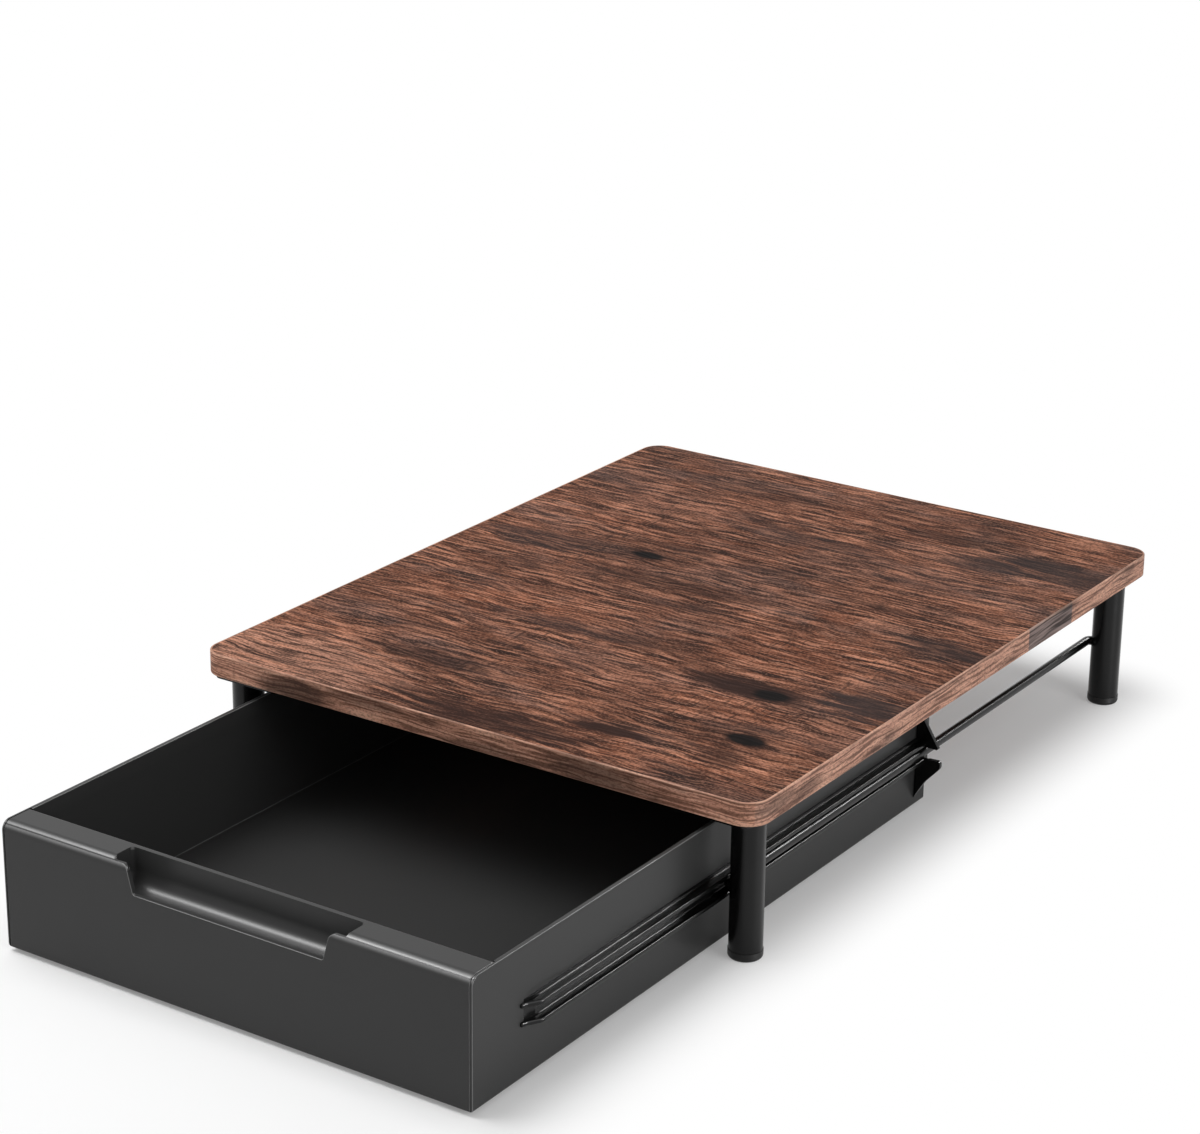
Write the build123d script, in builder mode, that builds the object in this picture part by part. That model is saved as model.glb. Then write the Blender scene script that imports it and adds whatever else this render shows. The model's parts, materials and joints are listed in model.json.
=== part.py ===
from build123d import *
import math
import os

# Coffee pod drawer: a wooden board on four tube legs, with a sheet-steel drawer that hangs on two
# slide rods between the legs. X is to the right, Y to the rear and Z up, in millimetres. The drawer is
# drawn part way out. The origin is on the surface under the feet, below the middle of the whole object.

# ---------------------------------------------------------------- board
board_width = 330.0
board_depth = 420.0
board_thickness = 12.0
board_corner_radius = 12.0
board_underside = 75.0          # height above the table
edge_band_thickness = 1.0
edge_band_ease = 0.5            # rounding of the band's long edges

# ---------------------------------------------------------------- legs and feet
leg_diameter = 16.5
leg_wall = 1.2
leg_inset_x = 15.0              # from the board's side edge to the leg's axis
leg_inset_y = 19.0              # from the board's front or rear edge to the leg's axis
foot_height = 4.5
foot_overhang = 0.25            # the foot's rim stands this far outside the tube
foot_edge_radius = 1.8
foot_plug_length = 9.0
plug_clearance = 0.1            # between the foot's plug and the tube's bore

# ---------------------------------------------------------------- leg plates and screws
plate_thickness = 2.0
plate_length = 42.0             # along X
plate_width = 33.0              # along Y
plate_corner_radius = 4.0
plate_outer_margin = 9.0        # from the leg's axis to the plate's outer end
screw_shank = 3.5
screw_length = 11.0             # under the head
screw_head_diameter = 7.0
screw_head_height = 2.2
screw_hole_clearance = 0.35     # all round the shank in the plate
pilot_clearance = 0.05          # all round the shank in the board
pilot_extra_depth = 0.5
screw_inner_row = 26.0          # from the leg's axis to the two inner screws
screw_near_row = 14.5           # from the leg's axis to the single screw beside the leg
screw_spread = 18.0             # between the two inner screws

# ---------------------------------------------------------------- slide rods
rod_diameter = 5.0
rod_height = 34.2               # axis above the table
rod_leg_gap = 0.25              # between the rod's side and the leg's tube
rod_bend_radius = 3.0           # on the axis
rod_hole_clearance = 0.1        # all round the rod in the leg's wall

# ---------------------------------------------------------------- runners on the drawer
runner_depth = 5.9              # how far the ribs stand out of the drawer's side
runner_web = 1.2
runner_web_gap = 0.8            # between the web and the rod
rib_thickness = 2.4
rib_edge_radius = 0.8
rib_root_radius = 0.9           # where a rib's top leaves the web
web_upstand = 1.2               # the web's rise above the upper rib
groove_gap_above = 0.3          # the upper rib rides on the rod
groove_gap_below = 1.3
runner_setback = 34.5           # from the drawer's front face to the ribs' noses
rib_nose_length = 9.5
rib_nose_radius = 6.0           # where the slanted nose meets the rib's outer edge
rib_tip_width = 1.0
rib_tip_radius = 0.8
rib_waist_width = 2.0
rib_waist_setback = 2.8         # behind the nose
rib_waist_radius = 3.0
web_setback = 2.5               # the web starts this far behind the noses
web_slant = 7.0                 # length of the slanted front end of the web

# ---------------------------------------------------------------- drawer
sheet = 1.2
drawer_length = 395.8
drawer_clearance = 2.2          # between the drawer's bottom and the table
drawer_height = 64.2
drawer_pull = 182.0             # how far out of its closed place the drawer is drawn
fold_radius = 1.0               # of the sheet's middle at the bottom folds
seam = 0.3                      # open seam between folded panels
hem_height = 8.0
rim_radius = 0.6                # rounding of the sheet's outer rims
tab_height = 12.0               # the bottom's front edge is folded up behind the front panel
back_flange = 10.0

# ---------------------------------------------------------------- drawer front and pull
front_bend_radius = 5.0         # outside
lip_depth = 18.0
lip_drop = 10.0
lip_bend_radius = 1.6           # outside
panel_edge_radius = 0.5         # rounding of the front panel's outer cut edges
pull_edge_radius = 0.4          # rounding of the pull opening's edge in the face
pull_top_width = 134.0          # opening in the lip
pull_shoulder_width = 133.0     # opening in the face, above its shoulders
pull_bottom_width = 109.0
pull_throat_width = 116.4       # where the slanted sides meet the shoulders
pull_bottom_height = 51.0       # above the table
pull_shoulder_height = 64.7     # above the table
pull_depth = 14.6               # from the front face to the back of the cup
pull_corner_radius = 2.5
cup_floor_height = 46.4         # outside of the cup's floor above the table
cup_scoop_radius = 9.5          # outside

# ---------------------------------------------------------------- stop brackets
stop_thickness = 2.0
stop_high = 60.0                # head of the bracket's root above the table
stop_upper_reach = 13.9         # out of the drawer's side
stop_upper_waist_reach = 4.8
stop_upper_waist_height = 51.3
stop_upper_waist_radius = 18.0
stop_upper_tip_radius = 0.8
stop_lower_reach = 14.9
stop_lower_tip_height = 31.0
stop_lower_tip_radius = 1.8
stop_lower_nose_height = 27.0
stop_lower_nose_radius = 3.5
stop_lower_waist_reach = 6.4
stop_lower_waist_height = 17.6
stop_lower_waist_radius = 12.0
stop_low = 7.0                  # foot of the bracket's root above the table
stop_slot_radius = 0.6
stop_to_rear = 10.0             # from the stop's rear face to the drawer's rear
stop_flange = 8.4
stop_flange_low = 16.0
stop_flange_high = 50.0
stop_bend_radius = 1.4
stop_gap = 0.5                  # left between a stop and a leg at each end of the travel

# ---------------------------------------------------------------- derived places
leg_radius = leg_diameter / 2
leg_x = board_width / 2 - leg_inset_x
leg_offset_y = board_depth / 2 - leg_inset_y
leg_top = board_underside - plate_thickness

rod_radius = rod_diameter / 2
rod_x = leg_x - leg_radius - rod_leg_gap - rod_radius

half_width = rod_x - rod_radius - runner_web_gap - runner_web
inner_half_width = half_width - sheet
panel_half_width = inner_half_width - seam
drawer_bottom = drawer_clearance
drawer_top = drawer_bottom + drawer_height

upper_rib_low = rod_height + rod_radius + groove_gap_above
upper_rib_high = upper_rib_low + rib_thickness
lower_rib_high = rod_height - rod_radius - groove_gap_below
lower_rib_low = lower_rib_high - rib_thickness

# Y places counted from the board's middle, before the origin is moved under the whole object.
stop_rear_from_board = leg_offset_y - leg_radius - stop_gap - drawer_pull
rear_from_board = stop_rear_from_board + stop_to_rear
front_from_board = rear_from_board - drawer_length
whole_front = min(front_from_board, -board_depth / 2)
whole_rear = max(rear_from_board, board_depth / 2)
board_y = -(whole_front + whole_rear) / 2

front_y = board_y + front_from_board
rear_y = board_y + rear_from_board
stop_rear_y = board_y + stop_rear_from_board
stop_front_y = stop_rear_y - stop_thickness
nose_y = front_y + runner_setback

travel_in = drawer_pull
travel_out = stop_front_y - (board_y - leg_offset_y + leg_radius + stop_gap)

SIDES = {"left": -1, "right": 1}
ENDS = {"front": -1, "rear": 1}


def write(part, name):
    """Label a finished piece and write it under its own name."""
    part.label = name
    export_step(part, f"parts/{name}.step")


def round_corner(sketch, corner, radius):
    """Round the corner of an open sketch that lies nearest to a point of its plane."""
    fillet(sketch.vertices().sort_by_distance((*corner, 0))[0], radius=radius)


def screw_places(side, end):
    """Middles of one plate's three screws, seen from above."""
    leg_y = board_y + end * leg_offset_y
    inner_x = side * (leg_x - screw_inner_row)
    near_x = side * (leg_x - screw_near_row)
    return [
        (inner_x, leg_y - screw_spread / 2),
        (inner_x, leg_y + screw_spread / 2),
        (near_x, leg_y),
    ]


def all_screw_places():
    return [place for side in SIDES.values() for end in ENDS.values() for place in screw_places(side, end)]


# ================================================================ board
def make_board_core():
    width = board_width - 2 * edge_band_thickness
    depth = board_depth - 2 * edge_band_thickness
    with BuildPart() as core:
        with BuildSketch(Plane.XY.offset(board_underside)):
            with Locations((0, board_y)):
                RectangleRounded(width, depth, board_corner_radius - edge_band_thickness)
        extrude(amount=board_thickness)
        with BuildSketch(Plane.XY.offset(board_underside)):
            with Locations(*all_screw_places()):
                Circle(screw_shank / 2 + pilot_clearance)
        extrude(amount=screw_length - plate_thickness + pilot_extra_depth, mode=Mode.SUBTRACT)
    return core.part


def make_edge_band():
    width = board_width - 2 * edge_band_thickness
    depth = board_depth - 2 * edge_band_thickness
    with BuildPart() as band:
        with BuildSketch(Plane.XY.offset(board_underside)):
            with Locations((0, board_y)):
                RectangleRounded(board_width, board_depth, board_corner_radius)
        extrude(amount=board_thickness)
        fillet(band.faces().filter_by(Axis.Z).edges(), radius=edge_band_ease)
        with BuildSketch(Plane.XY.offset(board_underside)):
            with Locations((0, board_y)):
                RectangleRounded(width, depth, board_corner_radius - edge_band_thickness)
        extrude(amount=board_thickness, mode=Mode.SUBTRACT)
    return band.part


# ================================================================ legs
def make_leg(side, end):
    leg_y = board_y + end * leg_offset_y
    with BuildPart() as leg:
        with BuildSketch(Plane.XY.offset(foot_height)):
            with Locations((side * leg_x, leg_y)):
                Circle(leg_radius)
                Circle(leg_radius - leg_wall, mode=Mode.SUBTRACT)
        extrude(amount=leg_top - foot_height)
        with BuildSketch(Plane.YZ.offset(side * leg_x)):
            with Locations((leg_y, rod_height)):
                Circle(rod_radius + rod_hole_clearance)
        extrude(amount=-side * leg_diameter, mode=Mode.SUBTRACT)
    return leg.part


def make_foot(side, end):
    plug_radius = leg_radius - leg_wall - plug_clearance
    middle = (side * leg_x, board_y + end * leg_offset_y)
    with BuildPart() as foot:
        with BuildSketch():
            with Locations(middle):
                Circle(leg_radius + foot_overhang)
        extrude(amount=foot_height)
        fillet(foot.edges().group_by(Axis.Z)[0], radius=foot_edge_radius)
        with BuildSketch(Plane.XY.offset(foot_height)):
            with Locations(middle):
                Circle(plug_radius)
        extrude(amount=foot_plug_length)
    return foot.part


def make_leg_plate(side, end):
    middle = (
        side * (leg_x + plate_outer_margin - plate_length / 2),
        board_y + end * leg_offset_y,
    )
    with BuildPart() as plate:
        with BuildSketch(Plane.XY.offset(leg_top)):
            with Locations(middle):
                RectangleRounded(plate_length, plate_width, plate_corner_radius)
            with Locations(*screw_places(side, end)):
                Circle(screw_shank / 2 + screw_hole_clearance, mode=Mode.SUBTRACT)
        extrude(amount=plate_thickness)
    return plate.part


def make_plate_screws(side, end):
    with BuildPart() as screws:
        with BuildSketch(Plane.XY.offset(leg_top - screw_head_height)):
            with Locations(*screw_places(side, end)):
                Circle(screw_head_diameter / 2)
        extrude(amount=screw_head_height)
        fillet(screws.edges().group_by(Axis.Z)[0], radius=screw_head_height / 2)
        with BuildSketch(Plane.XY.offset(leg_top)):
            with Locations(*screw_places(side, end)):
                Circle(screw_shank / 2)
        extrude(amount=screw_length)
    return screws.part


def make_slide_rod(side):
    front_leg_y = board_y - leg_offset_y
    rear_leg_y = board_y + leg_offset_y
    with BuildPart() as rod:
        with BuildLine(Plane.XY.offset(rod_height)) as route:
            FilletPolyline(
                (side * leg_x, front_leg_y),
                (side * rod_x, front_leg_y),
                (side * rod_x, rear_leg_y),
                (side * leg_x, rear_leg_y),
                radius=rod_bend_radius,
            )
        with BuildSketch(Plane(origin=route.line @ 0, z_dir=route.line % 0)):
            Circle(rod_radius)
        sweep()
    return rod.part


# ================================================================ drawer
def make_drawer_tray():
    wall_x = half_width - sheet / 2
    floor_z = drawer_bottom + sheet / 2
    hem_front = front_y + lip_depth + seam
    hem_rear = rear_y - back_flange - seam
    with BuildPart() as tray:
        with BuildSketch(Plane.XZ.offset(-rear_y)):
            with BuildLine():
                FilletPolyline(
                    (-wall_x, drawer_top),
                    (-wall_x, floor_z),
                    (wall_x, floor_z),
                    (wall_x, drawer_top),
                    radius=fold_radius,
                )
            trace(line_width=sheet)
        extrude(amount=drawer_length)
        # The front panel stands between the side walls, against the folded-up tab.
        with BuildSketch(Plane.XZ.offset(-front_y - sheet)):
            with Locations((0, (drawer_bottom + drawer_top) / 2)):
                Rectangle(2 * inner_half_width, drawer_height)
        extrude(amount=sheet, mode=Mode.SUBTRACT)
        with BuildSketch(Plane.XZ.offset(-front_y - 2 * sheet)):
            with Locations((0, drawer_bottom + tab_height / 2)):
                Rectangle(2 * (inner_half_width - fold_radius), tab_height)
        extrude(amount=sheet)
        front_corners = tray.edges().filter_by(Axis.X).group_by(Axis.Y)[0].group_by(Axis.Z)[-1]
        fillet(front_corners, radius=front_bend_radius)
        for side in SIDES.values():
            with BuildSketch(Plane.XZ.offset(-hem_rear)):
                with Locations((side * (inner_half_width - sheet / 2), drawer_top - hem_height / 2)):
                    Rectangle(sheet, hem_height)
            extrude(amount=hem_rear - hem_front)
        rims = [
            edge
            for edge in tray.edges().filter_by(Axis.Y)
            if abs(edge.center().Z - drawer_top) < 0.01
            and min(abs(abs(edge.center().X) - x) for x in (half_width, inner_half_width - sheet)) < 0.01
        ]
        fillet(rims, radius=rim_radius)
    return tray.part


def make_drawer_back():
    wall_x = panel_half_width - sheet / 2
    height = drawer_top - drawer_bottom - sheet
    with BuildPart() as back:
        with BuildSketch(Plane.XY.offset(drawer_bottom + sheet)):
            with BuildLine():
                FilletPolyline(
                    (-wall_x, rear_y - back_flange),
                    (-wall_x, rear_y - sheet / 2),
                    (wall_x, rear_y - sheet / 2),
                    (wall_x, rear_y - back_flange),
                    radius=fold_radius,
                )
            trace(line_width=sheet)
        extrude(amount=height)
        hem_half = panel_half_width - sheet - fold_radius
        with BuildSketch(Plane.XY.offset(drawer_top - hem_height)):
            with Locations((0, rear_y - sheet * 1.5)):
                Rectangle(2 * hem_half, sheet)
        extrude(amount=hem_height)
    return back.part


def pull_face_opening():
    """Outline of the hand pull's opening in the front face, in X and Z, open at the top."""
    above = drawer_top + front_bend_radius
    right = [
        (pull_bottom_width / 2, pull_bottom_height),
        (pull_throat_width / 2, pull_shoulder_height),
        (pull_shoulder_width / 2, pull_shoulder_height),
        (pull_shoulder_width / 2, above),
    ]
    left = [(-x, z) for x, z in reversed(right)]
    corner_radii = [pull_corner_radius / 2, pull_corner_radius * 1.5, pull_corner_radius / 2]
    with BuildSketch(Plane.XZ.offset(-front_y)) as opening:
        with BuildLine():
            across = FilletPolyline(*left, *right, radius=corner_radii[::-1] + corner_radii)
            Line(across @ 1, across @ 0)
        make_face()
    return opening.sketch


def make_drawer_front():
    face_y = front_y + sheet / 2
    lip_z = drawer_top - sheet / 2
    lip_end_y = front_y + lip_depth - sheet / 2
    with BuildPart() as front:
        with BuildSketch(Plane.YZ.offset(-panel_half_width)):
            with BuildLine():
                FilletPolyline(
                    (face_y, drawer_bottom),
                    (face_y, lip_z),
                    (lip_end_y, lip_z),
                    (lip_end_y, drawer_top - lip_drop),
                    radius=[front_bend_radius - sheet / 2, lip_bend_radius - sheet / 2],
                )
            trace(line_width=sheet)
        extrude(amount=2 * panel_half_width)
        # The bottom edge, and the two end edges with what follows them round the bends.
        face_edges = front.edges().group_by(Axis.Y)[0]
        bottom_edge = face_edges.filter_by(Axis.X).sort_by(Axis.Z)[0]
        fillet(face_edges.filter_by(Axis.Z) + [bottom_edge], radius=panel_edge_radius)
        # Opening in the face and through the front bend.
        extrude(pull_face_opening(), amount=-front_bend_radius, mode=Mode.SUBTRACT)
        # Opening in the lip.
        with BuildSketch(Plane.XY.offset(drawer_top - sheet * 1.5)):
            opening_front = front_y + front_bend_radius - pull_corner_radius
            with Locations((0, (opening_front + front_y + pull_depth) / 2)):
                RectangleRounded(pull_top_width, pull_depth - (opening_front - front_y), pull_corner_radius)
        extrude(amount=sheet * 2, mode=Mode.SUBTRACT)
        # The opening's bottom edge in the face, with what follows it up both sides.
        face_edges = front.edges().group_by(Axis.Y)[0]
        fillet(face_edges.filter_by(Axis.X).sort_by(Axis.Z)[1], radius=pull_edge_radius)
    return front.part


def cup_block(inset):
    """The cup's outer shape, or its hollow when it is inset by the sheet's thickness."""
    low_y = front_y + sheet + inset
    high_y = front_y + pull_depth + sheet - inset
    low_z = cup_floor_height + inset
    high_z = drawer_top - sheet
    end_x = pull_top_width / 2 + sheet - inset
    with BuildPart() as block:
        with BuildSketch(Plane.YZ.offset(-end_x)):
            with BuildLine():
                Polyline((low_y, low_z), (high_y, low_z), (high_y, high_z), (low_y, high_z), close=True)
            make_face()
        extrude(amount=2 * end_x)
        along = block.edges().filter_by(Axis.X)
        fillet(along.group_by(Axis.Z)[0].sort_by(Axis.Y)[-1], radius=cup_scoop_radius - inset)
        fillet(block.edges().filter_by(Axis.Z).group_by(Axis.Y)[-1], radius=pull_corner_radius + sheet - inset)
    return block.part


def make_pull_cup():
    with BuildPart() as cup:
        add(cup_block(0))
        # The cup's front top corner clears the inside of the front panel's bend.
        upper_edges = cup.edges().filter_by(Axis.X).group_by(Axis.Z)[-1]
        fillet(upper_edges.sort_by(Axis.Y)[0], radius=front_bend_radius)
        add(cup_block(sheet), mode=Mode.SUBTRACT)
        extrude(pull_face_opening(), amount=-2.5 * sheet, mode=Mode.SUBTRACT)
    return cup.part


# ================================================================ runners and stops
def make_runner(side):
    root_x = side * half_width
    web_x = side * (half_width + runner_web)
    edge_x = side * (half_width + runner_depth)
    tip = (side * (half_width + rib_tip_width), nose_y)
    waist = (side * (half_width + rib_waist_width), nose_y + rib_waist_setback)
    shoulder = (edge_x, nose_y + rib_nose_length)
    web_front = nose_y + web_setback
    with BuildPart() as runner:
        for low in (upper_rib_low, lower_rib_low):
            with BuildSketch(Plane.XY.offset(low)) as rib:
                with BuildLine():
                    Polyline(
                        (root_x, nose_y),
                        tip,
                        waist,
                        shoulder,
                        (edge_x, stop_front_y),
                        (root_x, stop_front_y),
                        close=True,
                    )
                make_face()
                round_corner(rib, tip, rib_tip_radius)
                round_corner(rib, waist, rib_waist_radius)
                round_corner(rib, shoulder, rib_nose_radius)
            extrude(amount=rib_thickness)
        outer_edges = [
            edge
            for edge in runner.edges()
            if abs(edge.center().X) > half_width + rib_tip_width / 2
            and edge.center().Y < stop_front_y - 1
            and abs((edge % 0.5).Z) < 0.5
        ]
        fillet(outer_edges, radius=rib_edge_radius)
        with BuildSketch(Plane.XY.offset(lower_rib_low)):
            with BuildLine():
                Polyline(
                    (root_x, web_front),
                    (web_x, web_front + web_slant),
                    (web_x, stop_front_y),
                    (root_x, stop_front_y),
                    close=True,
                )
            make_face()
        extrude(amount=upper_rib_high + web_upstand - lower_rib_low)
        roots = [
            edge
            for edge in runner.edges().filter_by(Axis.Y)
            if abs(edge.center().X - web_x) < 0.01
            and min(abs(edge.center().Z - upper_rib_high), abs(edge.center().Z - lower_rib_high)) < 0.01
        ]
        fillet(roots, radius=rib_root_radius)
    return runner.part


def make_stop_bracket(side):
    root_x = side * half_width
    slot_x = side * (half_width + runner_web)
    lower_waist = (side * (half_width + stop_lower_waist_reach), stop_lower_waist_height)
    lower_nose = (side * (half_width + stop_lower_reach), stop_lower_nose_height)
    lower_tip = (side * (half_width + stop_lower_reach), stop_lower_tip_height)
    slot_low = (slot_x, lower_rib_high)
    slot_high = (slot_x, upper_rib_low)
    upper_tip = (side * (half_width + stop_upper_reach), upper_rib_low)
    upper_waist = (side * (half_width + stop_upper_waist_reach), stop_upper_waist_height)
    with BuildPart() as bracket:
        with BuildSketch(Plane.XZ.offset(-stop_rear_y)) as plate:
            with BuildLine():
                Polyline(
                    (root_x, stop_low),
                    lower_waist,
                    lower_nose,
                    lower_tip,
                    slot_low,
                    slot_high,
                    upper_tip,
                    upper_waist,
                    (root_x, stop_high),
                    close=True,
                )
            make_face()
            round_corner(plate, lower_waist, stop_lower_waist_radius)
            round_corner(plate, lower_nose, stop_lower_nose_radius)
            round_corner(plate, lower_tip, stop_lower_tip_radius)
            round_corner(plate, slot_low, stop_slot_radius)
            round_corner(plate, slot_high, stop_slot_radius)
            round_corner(plate, upper_tip, stop_upper_tip_radius)
            round_corner(plate, upper_waist, stop_upper_waist_radius)
        extrude(amount=stop_thickness)
        flange_rear = stop_rear_y + stop_flange
        with BuildSketch(Plane.YZ.offset(root_x)):
            with Locations(((stop_front_y + flange_rear) / 2, (stop_flange_low + stop_flange_high) / 2)):
                Rectangle(flange_rear - stop_front_y, stop_flange_high - stop_flange_low)
        extrude(amount=side * stop_thickness)
        root_edges = [
            edge
            for edge in bracket.edges().filter_by(Axis.Z)
            if abs(edge.center().X - root_x) < 0.01 and abs(edge.center().Y - stop_front_y) < 0.01
        ]
        fillet(root_edges, radius=stop_bend_radius)
        # The rod also passes the flange.
        with BuildSketch(Plane.XZ.offset(-flange_rear)):
            with Locations((side * rod_x, (upper_rib_low + lower_rib_high) / 2)):
                Rectangle(2 * abs(rod_x - slot_x * side), upper_rib_low - lower_rib_high)
        extrude(amount=stop_flange + stop_thickness / 2, mode=Mode.SUBTRACT)
    return bracket.part


# ================================================================ build and write
os.makedirs("parts", exist_ok=True)

write(make_board_core(), "top_board")
write(make_edge_band(), "edge_band")
for end_name, end_sign in ENDS.items():
    for side_name, side_sign in SIDES.items():
        corner = f"{end_name}_{side_name}"
        write(make_leg(side_sign, end_sign), f"{corner}_leg")
        write(make_foot(side_sign, end_sign), f"{corner}_foot")
        write(make_leg_plate(side_sign, end_sign), f"{corner}_leg_plate")
        write(make_plate_screws(side_sign, end_sign), f"{corner}_plate_screws")
for side_name, side_sign in SIDES.items():
    write(make_slide_rod(side_sign), f"{side_name}_slide_rod")
    write(make_runner(side_sign), f"{side_name}_runner")
    write(make_stop_bracket(side_sign), f"{side_name}_stop_bracket")
write(make_drawer_tray(), "drawer_tray")
write(make_drawer_back(), "drawer_back")
write(make_drawer_front(), "drawer_front")
write(make_pull_cup(), "pull_cup")

print(f"travel in {travel_in:.2f} mm, travel out {travel_out:.2f} mm, board_y {board_y:.3f}")
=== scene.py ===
import json
import math

import bpy
from mathutils import Matrix, Vector


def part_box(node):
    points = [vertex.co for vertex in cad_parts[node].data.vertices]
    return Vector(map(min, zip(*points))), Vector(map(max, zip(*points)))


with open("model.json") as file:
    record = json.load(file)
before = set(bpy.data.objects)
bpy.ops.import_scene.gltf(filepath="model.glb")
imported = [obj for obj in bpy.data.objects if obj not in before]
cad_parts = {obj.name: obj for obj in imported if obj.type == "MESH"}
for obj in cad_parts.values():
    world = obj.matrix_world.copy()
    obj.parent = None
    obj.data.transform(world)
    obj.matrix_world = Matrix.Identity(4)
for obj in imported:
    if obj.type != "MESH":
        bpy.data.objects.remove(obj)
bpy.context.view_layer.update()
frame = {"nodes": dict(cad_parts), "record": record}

# Objects are placed in metres. The materials work in millimetres, with Y counted from the board's middle.
MM = 1000.0
board_low, board_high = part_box("edge_band")
BOARD_Y = (board_low.y + board_high.y) / 2 * MM
BOARD_FRONT = board_low.y * MM - BOARD_Y
BOARD_RIGHT = board_high.x * MM
BOARD_TOP = board_high.z * MM
BOARD_UNDER = board_low.z * MM
front_low, front_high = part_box("drawer_front")
DRAWER_FRONT = front_low.y * MM - BOARD_Y
DRAWER_TOP = front_high.z * MM


# ---------------------------------------------------------------- node graphs
class Graph:
    """A material and its shader nodes. x, y and z are places on the piece, in millimetres."""

    def __init__(self, name):
        self.material = bpy.data.materials.new(name)
        self.material.use_nodes = True
        self.tree = self.material.node_tree
        self.shader = self.tree.nodes["Principled BSDF"]
        across, along, up = self.split("Object")
        self.x = self.math("MULTIPLY", across, MM)
        self.y = self.math("MULTIPLY_ADD", along, MM, -BOARD_Y)
        self.z = self.math("MULTIPLY", up, MM)

    def split(self, coordinate):
        """The three parts of one of the object's own coordinates."""
        source = self.tree.nodes.new("ShaderNodeTexCoord")
        node = self.tree.nodes.new("ShaderNodeSeparateXYZ")
        self.tree.links.new(source.outputs[coordinate], node.inputs[0])
        return node.outputs

    def put(self, socket, value):
        """Link another node's output to a socket, or set the socket's own value."""
        if isinstance(value, bpy.types.NodeSocket):
            self.tree.links.new(value, socket)
        elif isinstance(value, tuple):
            socket.default_value = (*value, 1)
        else:
            socket.default_value = value

    def set(self, name, value):
        self.put(self.shader.inputs[name], value)

    def math(self, operation, *values):
        node = self.tree.nodes.new("ShaderNodeMath")
        node.operation = operation
        for socket, value in zip(node.inputs, values):
            self.put(socket, value)
        return node.outputs[0]

    def product(self, first, *others):
        for other in others:
            first = self.math("MULTIPLY", first, other)
        return first

    def between(self, share, start, end):
        """The value that lies a share of the way from start to end."""
        return self.math("MULTIPLY_ADD", share, end - start, start)

    def smooth(self, value, low, high):
        """0 at low and 1 at high, with a soft step between. It falls where low is the larger."""
        node = self.tree.nodes.new("ShaderNodeMapRange")
        node.interpolation_type = "SMOOTHSTEP"
        self.put(node.inputs["Value"], value)
        node.inputs["From Min"].default_value = low
        node.inputs["From Max"].default_value = high
        return node.outputs["Result"]

    def inside(self, value, low, high, softness):
        """1 between low and high, with a soft rim."""
        rises = self.smooth(value, low - softness, low + softness)
        falls = self.smooth(value, high + softness, high - softness)
        return self.product(rises, falls)

    def vector(self, x, y, z=0.0):
        node = self.tree.nodes.new("ShaderNodeCombineXYZ")
        for socket, value in zip(node.inputs, (x, y, z)):
            self.put(socket, value)
        return node.outputs[0]

    def noise(self, vector, detail=2.0, roughness=0.5):
        node = self.tree.nodes.new("ShaderNodeTexNoise")
        self.put(node.inputs["Vector"], vector)
        node.inputs["Scale"].default_value = 1.0
        node.inputs["Detail"].default_value = detail
        node.inputs["Roughness"].default_value = roughness
        return node.outputs["Fac"]

    def clouds(self, *lengths, seed=0.0, **shape):
        """Noise with features of the given lengths along X, Y and, if it has three, Z."""
        places = zip((self.x, self.y, self.z), lengths)
        return self.noise(
            self.vector(*[self.math("MULTIPLY_ADD", place, 1 / length, seed) for place, length in places]),
            **shape,
        )

    def grain(self, along, across, length, width, seed=0.0, **shape):
        """Noise drawn out into lines of the given length and width."""
        u = self.math("MULTIPLY", along, 1 / length)
        v = self.math("MULTIPLY", across, 1 / width)
        return self.noise(self.vector(u, v, seed), **shape)

    def random(self, a, b):
        node = self.tree.nodes.new("ShaderNodeTexWhiteNoise")
        node.noise_dimensions = "2D"
        self.put(node.inputs["Vector"], self.vector(a, b))
        return node.outputs["Value"]

    def spot(self, u, v, centre, radii, ragged, softness=0.8):
        """1 inside an ellipse, fading to 0 round its ragged rim."""
        du = self.math("MULTIPLY_ADD", u, 1 / radii[0], -centre[0] / radii[0])
        dv = self.math("MULTIPLY_ADD", v, 1 / radii[1], -centre[1] / radii[1])
        distance = self.math("ADD", self.product(du, du), self.product(dv, dv))
        distance = self.math("ADD", distance, ragged)
        return self.math("SUBTRACT", 1.0, self.smooth(distance, 1.0 - softness, 1.0 + softness))

    def ramp(self, value, stops):
        node = self.tree.nodes.new("ShaderNodeValToRGB")
        self.put(node.inputs[0], value)
        ramp = node.color_ramp
        while len(ramp.elements) < len(stops):
            ramp.elements.new(1.0)
        for element, (place, colour) in zip(ramp.elements, stops):
            element.position = place
            element.color = (*colour, 1)
        return node.outputs[0]

    def mix(self, amount, a, b, blend="MIX"):
        node = self.tree.nodes.new("ShaderNodeMix")
        node.data_type = "RGBA"
        node.blend_type = blend
        self.put(node.inputs[0], amount)
        self.put(node.inputs[6], a)
        self.put(node.inputs[7], b)
        return node.outputs[2]

    def lay(self, colour, mask, strength, shade):
        """A colour with a shade laid over it, as strongly as the mask and the strength say."""
        return self.mix(self.product(mask, strength), colour, shade)

    def bump(self, height, distance, strength):
        """Unevenness of the surface, its distance in metres."""
        node = self.tree.nodes.new("ShaderNodeBump")
        node.inputs["Strength"].default_value = strength
        node.inputs["Distance"].default_value = distance
        self.put(node.inputs["Height"], height)
        self.set("Normal", node.outputs[0])


def srgb(red, green, blue):
    """A display colour, 0 to 255, as linear light."""
    out = []
    for channel in (red, green, blue):
        share = channel / 255
        out.append(share / 12.92 if share <= 0.04045 else ((share + 0.055) / 1.055) ** 2.4)
    return tuple(out)


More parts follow.
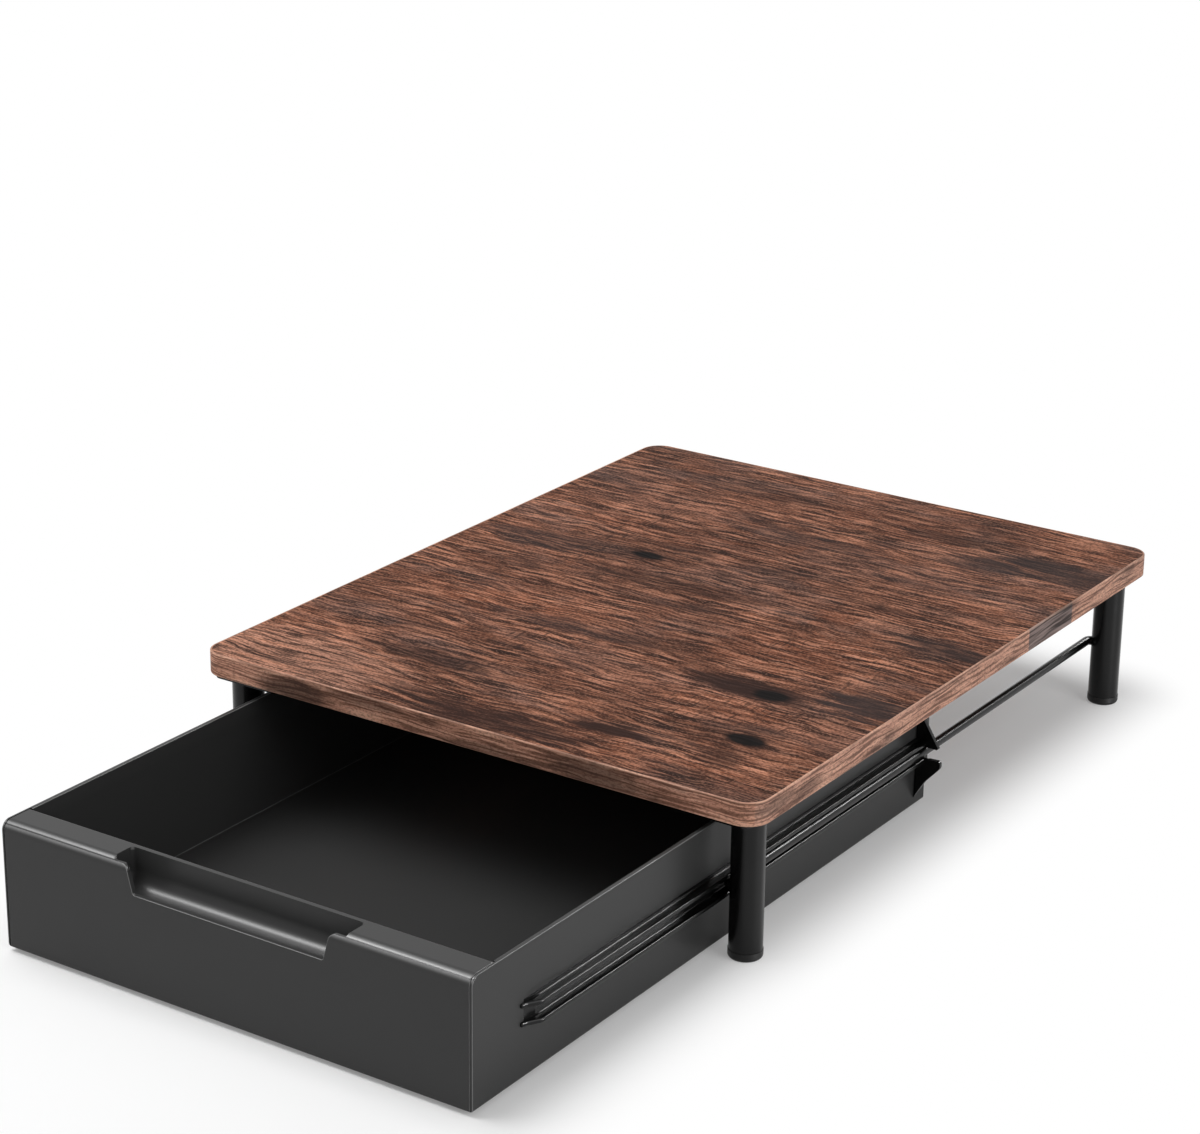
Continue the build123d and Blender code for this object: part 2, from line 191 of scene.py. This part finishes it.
# ---------------------------------------------------------------- wood-look laminate
WOOD_TONES = [
    (0.00, srgb(76, 48, 38)),
    (0.30, srgb(112, 70, 52)),
    (0.52, srgb(142, 93, 71)),
    (0.74, srgb(136, 101, 88)),
    (1.00, srgb(112, 91, 85)),
]
SMOKE = srgb(50, 43, 43)
UMBER = srgb(46, 30, 26)
AMBER = srgb(150, 92, 66)
ROSE = srgb(170, 122, 102)

# Printed blocks with straight ends: lowest and highest place across the board, the same along it,
# strength and colour.
BLOCKS = [
    (62, 87, 12, 27, 0.55, srgb(150, 90, 64)),
    (87, 117, 12, 27, 0.75, srgb(172, 124, 104)),
    (-52, 4, -52, -34, 0.55, srgb(158, 104, 80)),
    (-128, -84, 66, 86, 0.50, srgb(150, 94, 70)),
    (8, 62, 84, 104, 0.40, srgb(104, 84, 78)),
]
BLOCK_END = 0.4                 # softness of a block's ends
BLOCK_SIDE = 1.5                # and of its sides

# Soft patches: middle, half length and half width, strength and colour. The warm ones lie under the grain.
WARM_PATCHES = [
    ((84, -40), (44, 28), 0.60, AMBER),
    ((84, -118), (44, 20), 0.60, AMBER),
    ((150, -120), (22, 14), 0.50, ROSE),
    ((110, -193), (62, 11), 0.50, AMBER),
    ((-118, -190), (60, 30), 1.00, srgb(206, 154, 130)),
    ((100, 192), (66, 16), 0.35, AMBER),
    ((136, 56), (34, 7), 0.65, ROSE),
    ((-30, 70), (52, 14), 0.50, AMBER),
    ((-90, -60), (50, 16), 0.55, AMBER),
    ((-100, 120), (48, 20), 0.50, ROSE),
    ((30, 160), (40, 14), 0.45, AMBER),
    ((20, -110), (44, 15), 0.45, ROSE),
]
DARK_PATCHES = [
    ((138, 8), (28, 15), 0.60, SMOKE),
    ((148, -80), (25, 18), 0.90, SMOKE),
    ((140, 146), (38, 15), 0.75, SMOKE),
    ((100, 134), (26, 10), 0.65, SMOKE),
    ((90, 98), (34, 24), 0.30, SMOKE),
    ((86, -90), (32, 11), 0.92, UMBER),
    ((122, -168), (12, 12), 0.60, UMBER),
    ((62, -173), (26, 7), 0.95, UMBER),
    ((4, -198), (54, 18), 0.80, UMBER),
    ((70, 163), (30, 7), 0.65, UMBER),
    ((92, 43), (34, 4), 0.50, UMBER),
    ((-66, -150), (34, 9), 0.60, UMBER),
    ((-20, 10), (56, 9), 0.60, UMBER),
    ((-120, 30), (40, 12), 0.60, SMOKE),
    ((-60, 170), (44, 10), 0.60, UMBER),
    ((0, 112), (50, 10), 0.55, SMOKE),
    ((-30, -75), (46, 8), 0.55, SMOKE),
]
# Places with short checks across the grain: middle, half length and half width.
CHECKED_PLACES = [
    ((124, -70), (14, 72)),
    ((74, -125), (16, 20)),
    ((100, -120), (40, 16)),
    ((72, -35), (8, 14)),
    ((-40, -120), (14, 50)),
    ((-90, 60), (12, 60)),
]
# Knots: middle, half length and half width, strength of the ring round them.
KNOTS = [
    ((120.5, -146.5), (11, 6.5), 0.40),
    ((102, -93), (10, 5.5), 0.45),
    ((-58, 40), (10, 5), 0.40),
]
STRIP_WIDTH = 43.0              # the print is laid in strips across the board
STRIP_BLOCK = 150.0             # each cut into blocks of its own tone

# The grain's dark and light shades, from its broad lines to the pores.
BROAD_DARK, BROAD_LIGHT = srgb(36, 23, 19), srgb(226, 160, 128)
FINE_DARK, FINE_LIGHT = srgb(42, 28, 24), srgb(204, 148, 122)
PORE_DARK, PORE_LIGHT = srgb(50, 34, 29), srgb(206, 156, 132)
CHECK_SHADE = srgb(44, 30, 26)
SMOKE_SHADE = srgb(54, 42, 40)
RING_SHADE = srgb(52, 34, 29)
KNOT_SHADE = srgb(12, 9, 9)
RING_SIZE = (2.0, 2.2)          # of a ring against its knot, in length and width


def printed_strips(g, y):
    """Strips of blocks in slightly different tones, with a slow drift of tone over all of them."""
    row = g.math("FLOOR", g.math("MULTIPLY", y, 1 / STRIP_WIDTH))
    shift = g.math("MULTIPLY", g.random(row, 4.0), 5.0)
    block = g.math("FLOOR", g.math("MULTIPLY_ADD", g.x, 1 / STRIP_BLOCK, shift))
    tone = g.between(g.random(row, block), 0.36, 0.66)
    drift = g.between(g.clouds(90, 26, seed=1.3, detail=3, roughness=0.55), -0.75, 0.75)
    colour = g.ramp(g.math("ADD", tone, drift), WOOD_TONES)
    for low_x, high_x, low_y, high_y, strength, shade in BLOCKS:
        block = g.product(g.inside(g.x, low_x, high_x, BLOCK_END), g.inside(y, low_y, high_y, BLOCK_SIDE))
        colour = g.lay(colour, block, strength, shade)
    return colour


def patched(g, colour, y, patches, ragged):
    """Soft patches of other shades."""
    for middle, radii, strength, shade in patches:
        colour = g.lay(colour, g.spot(g.x, y, middle, radii, ragged), strength, shade)
    return colour


def grained(g, colour, broad, fine):
    """Broad lines, fine lines and a weave of pores, dark where their noise is high and light where low."""
    pores = g.clouds(1.7, 1.1, seed=4.4)
    strong = g.smooth(g.clouds(38, 22, seed=6.4), 0.36, 0.62)
    calm = g.math("SUBTRACT", 1.0, strong)
    colour = g.lay(colour, g.smooth(broad, 0.50, 0.57), g.between(strong, 0.42, 0.88), BROAD_DARK)
    colour = g.lay(colour, g.smooth(broad, 0.47, 0.39), g.between(strong, 0.24, 0.78), BROAD_LIGHT)
    colour = g.lay(colour, g.smooth(fine, 0.49, 0.57), g.between(calm, 0.50, 0.72), FINE_DARK)
    colour = g.lay(colour, g.smooth(fine, 0.46, 0.38), g.between(strong, 0.24, 0.60), FINE_LIGHT)
    colour = g.lay(colour, g.smooth(pores, 0.50, 0.60), 0.50, PORE_DARK)
    return g.lay(colour, g.smooth(pores, 0.45, 0.36), 0.26, PORE_LIGHT)


def checked(g, colour, ragged):
    """Short checks across the grain, in a few places."""
    checks = g.smooth(g.grain(g.x, g.y, 2.6, 13, seed=9.0), 0.55, 0.66)
    rim = g.math("MULTIPLY", ragged, 0.5)
    places = 0.0
    for middle, radii in CHECKED_PLACES:
        places = g.math("MAXIMUM", places, g.spot(g.x, g.y, middle, radii, rim))
    return g.lay(colour, g.product(checks, places), 0.62, CHECK_SHADE)


def knotted(g, colour, ragged):
    """Knots with their darker rings."""
    ring_rim = g.math("MULTIPLY", ragged, 0.35)
    knot_rim = g.math("MULTIPLY", ragged, 0.22)
    for middle, radii, ring_strength in KNOTS:
        ring_radii = (radii[0] * RING_SIZE[0], radii[1] * RING_SIZE[1])
        ring = g.spot(g.x, g.y, middle, ring_radii, ring_rim, softness=0.95)
        knot = g.spot(g.x, g.y, middle, radii, knot_rim, softness=0.55)
        colour = g.lay(colour, ring, ring_strength, RING_SHADE)
        colour = g.lay(colour, knot, 0.98, KNOT_SHADE)
    return colour


def wood_top():
    g = Graph("board_laminate")
    # The print's lines wander a little, and its patches have ragged rims.
    wave = g.between(g.clouds(62, 30), -6.5, 6.5)
    ripple = g.between(g.clouds(17, 9, seed=8.3, detail=1), -1.1, 1.1)
    y = g.math("ADD", g.math("ADD", g.y, wave), ripple)
    ragged = g.between(g.grain(g.x, y, 34, 4.2, seed=3.7, detail=4, roughness=0.6), -2.3, 2.3)
    broad = g.grain(g.x, y, 52, 3.1)
    fine = g.grain(g.x, y, 15, 1.5, seed=2.0)

    colour = printed_strips(g, y)
    colour = patched(g, colour, y, WARM_PATCHES, ragged)
    colour = grained(g, colour, broad, fine)
    colour = checked(g, colour, ragged)
    smoke = g.clouds(70, 24, seed=7.1, detail=4, roughness=0.6)
    colour = g.lay(colour, g.smooth(smoke, 0.54, 0.70), 0.55, SMOKE_SHADE)
    colour = patched(g, colour, y, DARK_PATCHES, ragged)
    colour = knotted(g, colour, ragged)

    darker, lighter = (0.62, 0.60, 0.60), (0.90, 0.86, 0.84)
    shade = g.mix(g.smooth(g.clouds(150, 60, seed=2.6), 0.35, 0.65), darker, lighter)
    g.set("Base Color", g.mix(1.0, colour, shade, blend="MULTIPLY"))
    g.set("Roughness", g.between(fine, 0.40, 0.65))
    g.set("Specular IOR Level", 0.02)
    g.bump(g.math("MULTIPLY_ADD", fine, 0.6, broad), 0.00025, 0.7)
    return g.material


BAND_TONES = [
    (0.25, srgb(108, 68, 53)),
    (0.42, srgb(160, 102, 77)),
    (0.58, srgb(184, 126, 98)),
    (0.75, srgb(152, 108, 88)),
]
BAND_PALE = srgb(224, 180, 160)
BAND_DARK_LINE = srgb(66, 42, 34)
BAND_LIGHT_LINE = srgb(232, 184, 158)
BAND_PORE = srgb(78, 52, 43)
BAND_SMOKE = srgb(48, 38, 35)
# painted highlight colour for the band's eased rims
BAND_RIM_HIGHLIGHT = srgb(190, 150, 128)
GREY_LIGHT, GREY_DARK = srgb(136, 122, 119), srgb(52, 46, 45)

# Dark spots of the band: place along it and height, half length and half height, strength.
FRONT_SPOTS = [
    ((-104, 79), (22, 7), 0.75),
    ((76, 80), (28, 7), 0.70),
    ((14, 77), (30, 3), 0.55),
    ((-60, 84), (26, 3), 0.50),
]
RIGHT_SPOTS = [
    ((-190, 82), (16, 4), 0.55),
    ((-165, 80), (14, 4), 0.55),
]
GREY_BLOCK_START = 61.0         # one block of the right side's print is grey
GREY_BLOCK_END = 111.0
BAND_REACH = 3.0                # a side's print goes this far round from its outermost place
# The painted highlight on the eased rims fades in over these distances from the band's edges.
RIM_START = 0.9                 # the eased rims fade in over this distance from the band's edges
RIM_FULL = 0.2


def band_dark(g, along, z, on_front, on_right):
    """How dark the band's smoke and spots make each place."""
    smoke = g.grain(along, z, 30, 9, seed=5.0, detail=4)
    dark = g.math("MULTIPLY", g.smooth(smoke, 0.55, 0.72), 0.55)
    ragged = g.between(g.clouds(6, 6, 2.5, seed=2.2, detail=4), -0.8, 0.8)
    for side, place, spots in ((on_front, g.x, FRONT_SPOTS), (on_right, g.y, RIGHT_SPOTS)):
        for middle, radii, strength in spots:
            spot = g.spot(place, g.z, middle, radii, ragged)
            dark = g.math("MAXIMUM", dark, g.product(spot, strength, side))
    return dark


def painted_highlight_rims(g):
    """Where the painted highlight goes: 1 on the band's eased rims."""
    upper = g.smooth(g.z, BOARD_TOP - RIM_START, BOARD_TOP - RIM_FULL)
    lower = g.smooth(g.z, BOARD_UNDER + RIM_START, BOARD_UNDER + RIM_FULL)
    return g.math("MAXIMUM", upper, lower)


def wood_edge():
    g = Graph("edge_laminate")
    along = g.math("ADD", g.x, g.y)
    z = g.math("ADD", g.z, g.between(g.grain(along, g.z, 40, 14), -2.5, 2.5))
    on_front = g.math("LESS_THAN", g.y, BOARD_FRONT + BAND_REACH)
    on_right = g.math("GREATER_THAN", g.x, BOARD_RIGHT - BAND_REACH)
    fine = g.grain(along, z, 36, 1.4, detail=3)
    pores = g.grain(along, z, 2.0, 0.9, seed=7.0)

    # The print is paler than the top's; on the right it is paler still, as painted light falling from that
    # side.
    colour = g.ramp(g.grain(along, z, 60, 12, detail=4, roughness=0.6), BAND_TONES)
    # the extra paleness on the right side is painted light
    colour = g.mix(g.between(on_right, 0.30, 0.50), colour, BAND_PALE)
    colour = g.lay(colour, g.smooth(fine, 0.49, 0.57), 0.66, BAND_DARK_LINE)
    colour = g.lay(colour, g.smooth(fine, 0.47, 0.39), 0.56, BAND_LIGHT_LINE)
    colour = g.lay(colour, g.smooth(pores, 0.50, 0.60), 0.42, BAND_PORE)
    colour = g.mix(band_dark(g, along, z, on_front, on_right), colour, BAND_SMOKE)

    after_start = g.math("GREATER_THAN", g.y, GREY_BLOCK_START)
    before_end = g.math("LESS_THAN", g.y, GREY_BLOCK_END)
    grey = g.mix(g.smooth(fine, 0.35, 0.65), GREY_LIGHT, GREY_DARK)
    colour = g.lay(colour, g.product(after_start, before_end, on_right), 0.92, grey)
    # painted highlight on the band's eased rims
    g.set("Base Color", g.lay(colour, painted_highlight_rims(g), 0.35, BAND_RIM_HIGHLIGHT))
    g.set("Roughness", g.between(fine, 0.45, 0.65))
    g.set("Specular IOR Level", 0.06)
    g.bump(fine, 0.0001, 0.5)
    return g.material


# ---------------------------------------------------------------- enamel, plastic and screws
BLACK = srgb(5, 5, 5)
CHARCOAL = srgb(57, 57, 57)
# painted highlight colour for the drawer enamel's rounded edges
EDGE_HIGHLIGHT_CHARCOAL = srgb(128, 128, 128)
HOLLOW_SKIN = 1.25              # the pull's hollow starts this far behind the face and below the lip
HOLLOW_DEPTH = 18.0             # and ends this far behind the face


def painted_highlight_edges(g):
    """Where the painted highlight goes: 1 on rounded edges, where the normal leans away from all three
    axes, but 0 in the pull's hollow.
    """
    straight = 0.0
    for part in g.split("Normal"):
        straight = g.math("MAXIMUM", straight, g.math("ABSOLUTE", part))
    behind_face = g.math("GREATER_THAN", g.y, DRAWER_FRONT + HOLLOW_SKIN)
    before_back = g.math("LESS_THAN", g.y, DRAWER_FRONT + HOLLOW_DEPTH)
    below_lip = g.math("LESS_THAN", g.z, DRAWER_TOP - HOLLOW_SKIN)
    hollow = g.product(behind_face, before_back, below_lip)
    return g.product(g.smooth(straight, 0.97, 0.80), g.math("SUBTRACT", 1.0, hollow))


def enamel(name, colour, specular, roughness, mottle, grain, edge=None):
    """Paint on steel: a little uneven in tone, sheen and level, with a painted highlight over rounded edges
    where an edge colour is given.
    """
    g = Graph(name)
    slow = g.clouds(60, 60, 60)
    fast = g.clouds(grain, grain, grain, seed=1.9, detail=3, roughness=0.6)
    darker = tuple(channel * (1 - mottle) for channel in colour)
    lighter = tuple(channel * (1 + mottle) for channel in colour)
    paint = g.mix(slow, darker, lighter)
    if edge:
        # painted highlight on the rounded edges
        paint = g.lay(paint, painted_highlight_edges(g), g.between(fast, 0.6, 1.0), edge)
    g.set("Base Color", paint)
    g.set("Roughness", g.between(g.math("ADD", slow, fast), roughness - 0.06, roughness))
    g.set("Specular IOR Level", specular)
    g.bump(fast, 0.00002, 0.5)
    return g.material


def black_enamel():
    return enamel("black_enamel", BLACK, specular=0.24, roughness=0.24, mottle=0.10, grain=5.0)


def drawer_enamel():
    return enamel(
        "drawer_enamel", CHARCOAL, specular=0.14, roughness=0.30, mottle=0.04, grain=1.2, edge=EDGE_HIGHLIGHT_CHARCOAL
    )


def foot_plastic():
    g = Graph("foot_plastic")
    fast = g.clouds(0.6, 0.6, 0.6, detail=3)
    g.set("Base Color", g.mix(fast, srgb(14, 14, 14), srgb(22, 22, 22)))
    g.set("Roughness", g.between(fast, 0.30, 0.50))
    g.set("Specular IOR Level", 0.25)
    g.bump(fast, 0.00004, 0.4)
    return g.material


def screw_steel():
    g = Graph("screw_steel")
    fast = g.clouds(1.5, 1.5, 1.5, detail=3)
    g.set("Metallic", 1.0)
    g.set("Base Color", g.mix(fast, srgb(170, 170, 165), srgb(205, 205, 200)))
    g.set("Roughness", g.between(fast, 0.25, 0.40))
    g.bump(fast, 0.00003, 0.3)
    return g.material


materials = {
    "board_laminate": wood_top(),
    "edge_laminate": wood_edge(),
    "black_enamel": black_enamel(),
    "drawer_enamel": drawer_enamel(),
    "foot_plastic": foot_plastic(),
    "screw_steel": screw_steel(),
}
slot_of = {part["node"]: part["material_slot"] for part in frame["record"]["subparts"]}
for name, node in frame["nodes"].items():
    node.data.materials.clear()
    node.data.materials.append(materials[slot_of[name]])


# ---------------------------------------------------------------- floor and background
WORLD_LIGHT = 0.42              # how much of its white the world lights the scene with
FLOOR_REACH = 8.0               # metres to each side
FLOOR_DROP = 0.0001             # metres below the feet
FLOOR_COLOUR = (0.93, 0.93, 0.93)
WHITE = (1.0, 1.0, 1.0)

# The ground that the board and the drawer cover in the drawer's travel. The floor keeps the shadow there
# and fades into the white background round it.
GROUND_SIDE = 135.0             # half its width
GROUND_FRONT = -485.0 - BOARD_Y  # just before the drawer's front when it is fully out
GROUND_REAR = 200.0
FADE_WIDTH = 62.0
LEAST_WHITE = 0.20              # share of the background's white that the ground has as well


def seen_share(tree):
    """1 for what the camera sees, straight, mirrored or through glass, and 0 for what lights the scene."""
    path = tree.nodes.new("ShaderNodeLightPath")
    total = path.outputs["Is Camera Ray"]
    for name in ("Is Glossy Ray", "Is Transmission Ray"):
        joined = tree.nodes.new("ShaderNodeMath")
        joined.operation = "MAXIMUM"
        tree.links.new(total, joined.inputs[0])
        tree.links.new(path.outputs[name], joined.inputs[1])
        total = joined.outputs[0]
    return total


def make_world():
    world = bpy.data.worlds.new("studio")
    world.use_nodes = True
    tree = world.node_tree
    sky = tree.nodes.new("ShaderNodeMix")
    sky.data_type = "RGBA"
    tree.links.new(seen_share(tree), sky.inputs[0])
    sky.inputs[6].default_value = (WORLD_LIGHT, WORLD_LIGHT, WORLD_LIGHT, 1)
    sky.inputs[7].default_value = (*WHITE, 1)
    tree.links.new(sky.outputs[2], tree.nodes["Background"].inputs["Color"])
    bpy.context.scene.world = world


def floor_material():
    g = Graph("floor")
    g.set("Base Color", FLOOR_COLOUR)
    g.set("Roughness", 0.8)
    g.set("Specular IOR Level", 0.0)
    middle_y, half_length = (GROUND_FRONT + GROUND_REAR) / 2, (GROUND_REAR - GROUND_FRONT) / 2
    from_middle = g.math("ABSOLUTE", g.math("SUBTRACT", g.y, middle_y))
    outside_x = g.math("MAXIMUM", g.math("SUBTRACT", g.math("ABSOLUTE", g.x), GROUND_SIDE), 0.0)
    outside_y = g.math("MAXIMUM", g.math("SUBTRACT", from_middle, half_length), 0.0)
    squares = g.math("ADD", g.product(outside_x, outside_x), g.product(outside_y, outside_y))
    fade = g.smooth(g.math("SQRT", squares), 0.0, FADE_WIDTH)
    white_share = g.product(g.between(fade, LEAST_WHITE, 1.0), seen_share(g.tree))

    white = g.tree.nodes.new("ShaderNodeEmission")
    white.inputs["Color"].default_value = (*WHITE, 1)
    blend = g.tree.nodes.new("ShaderNodeMixShader")
    g.put(blend.inputs[0], white_share)
    g.put(blend.inputs[1], g.shader.outputs[0])
    g.put(blend.inputs[2], white.outputs[0])
    g.put(g.tree.nodes["Material Output"].inputs["Surface"], blend.outputs[0])
    return g.material


def make_floor():
    mesh = bpy.data.meshes.new("floor")
    corners = [(-FLOOR_REACH, -FLOOR_REACH, 0), (FLOOR_REACH, -FLOOR_REACH, 0)]
    corners += [(FLOOR_REACH, FLOOR_REACH, 0), (-FLOOR_REACH, FLOOR_REACH, 0)]
    mesh.from_pydata(corners, [], [(0, 1, 2, 3)])
    mesh.materials.append(floor_material())
    floor = bpy.data.objects.new("floor", mesh)
    bpy.context.scene.collection.objects.link(floor)
    floor.location.z = -FLOOR_DROP
    return floor


make_world()
make_floor()


# ---------------------------------------------------------------- light
MIDDLE = (0.0, 0.0, 0.03)
DRAWER_FACE = (0.0, -0.28, 0.06)
RIGHT_SIDE = (0.15, -0.10, 0.05)


def softbox(name, place, target, width, height, power):
    """An area lamp that looks at a target point."""
    lamp = bpy.data.lights.new(name, "AREA")
    lamp.shape = "RECTANGLE"
    lamp.size = width
    lamp.size_y = height
    lamp.energy = power
    holder = bpy.data.objects.new(name, lamp)
    bpy.context.scene.collection.objects.link(holder)
    holder.location = place
    direction = Vector(target) - Vector(place)
    holder.rotation_euler = direction.to_track_quat("-Z", "Y").to_euler()
    return holder


def gloss_strip(*settings):
    """A lamp that only shows in gloss, as a line of light in the enamel."""
    softbox(*settings).visible_diffuse = False


# Name, place, target, width and height in metres, power in watts.
softbox("key_light", (-0.70, -0.35, 1.55), MIDDLE, 1.2, 1.2, 21.0)
softbox("right_fill", (1.7, -0.3, 0.9), MIDDLE, 0.9, 0.7, 7.0)
gloss_strip("front_strip", (-0.72, -0.78, 1.22), DRAWER_FACE, 0.8, 0.22, 32.0)
gloss_strip("rear_strip", (0.72, 1.55, 1.05), MIDDLE, 1.2, 0.16, 40.0)
gloss_strip("side_strip", (1.34, 0.02, 0.09), RIGHT_SIDE, 0.10, 0.14, 28.0)

# ---------------------------------------------------------------- camera
CAMERA_PLACE = Vector((0.83580, -1.33767 + BOARD_Y / MM, 0.68454))
CAMERA_YAW = math.radians(33.892)
CAMERA_PITCH = math.radians(20.216)
CAMERA_ROLL = math.radians(0.663)


def make_camera():
    yaw, pitch, roll = CAMERA_YAW, CAMERA_PITCH, CAMERA_ROLL
    back = Vector((math.sin(yaw) * math.cos(pitch), -math.cos(yaw) * math.cos(pitch), math.sin(pitch)))
    level = Vector((math.cos(yaw), math.sin(yaw), 0))
    upright = back.cross(level)
    right = math.cos(roll) * level + math.sin(roll) * upright
    up = math.cos(roll) * upright - math.sin(roll) * level
    camera = bpy.data.objects.new("camera", bpy.data.cameras.new("camera"))
    bpy.context.scene.collection.objects.link(camera)
    turn = Matrix((right, up, back)).transposed().to_4x4()
    camera.matrix_world = Matrix.Translation(CAMERA_PLACE) @ turn
    camera.data.sensor_width = 36
    camera.data.lens = 95.31
    camera.data.clip_start = 0.01
    camera.data.clip_end = 50
    return camera


bpy.context.scene.camera = make_camera()
bpy.context.scene.view_settings.view_transform = "Standard"
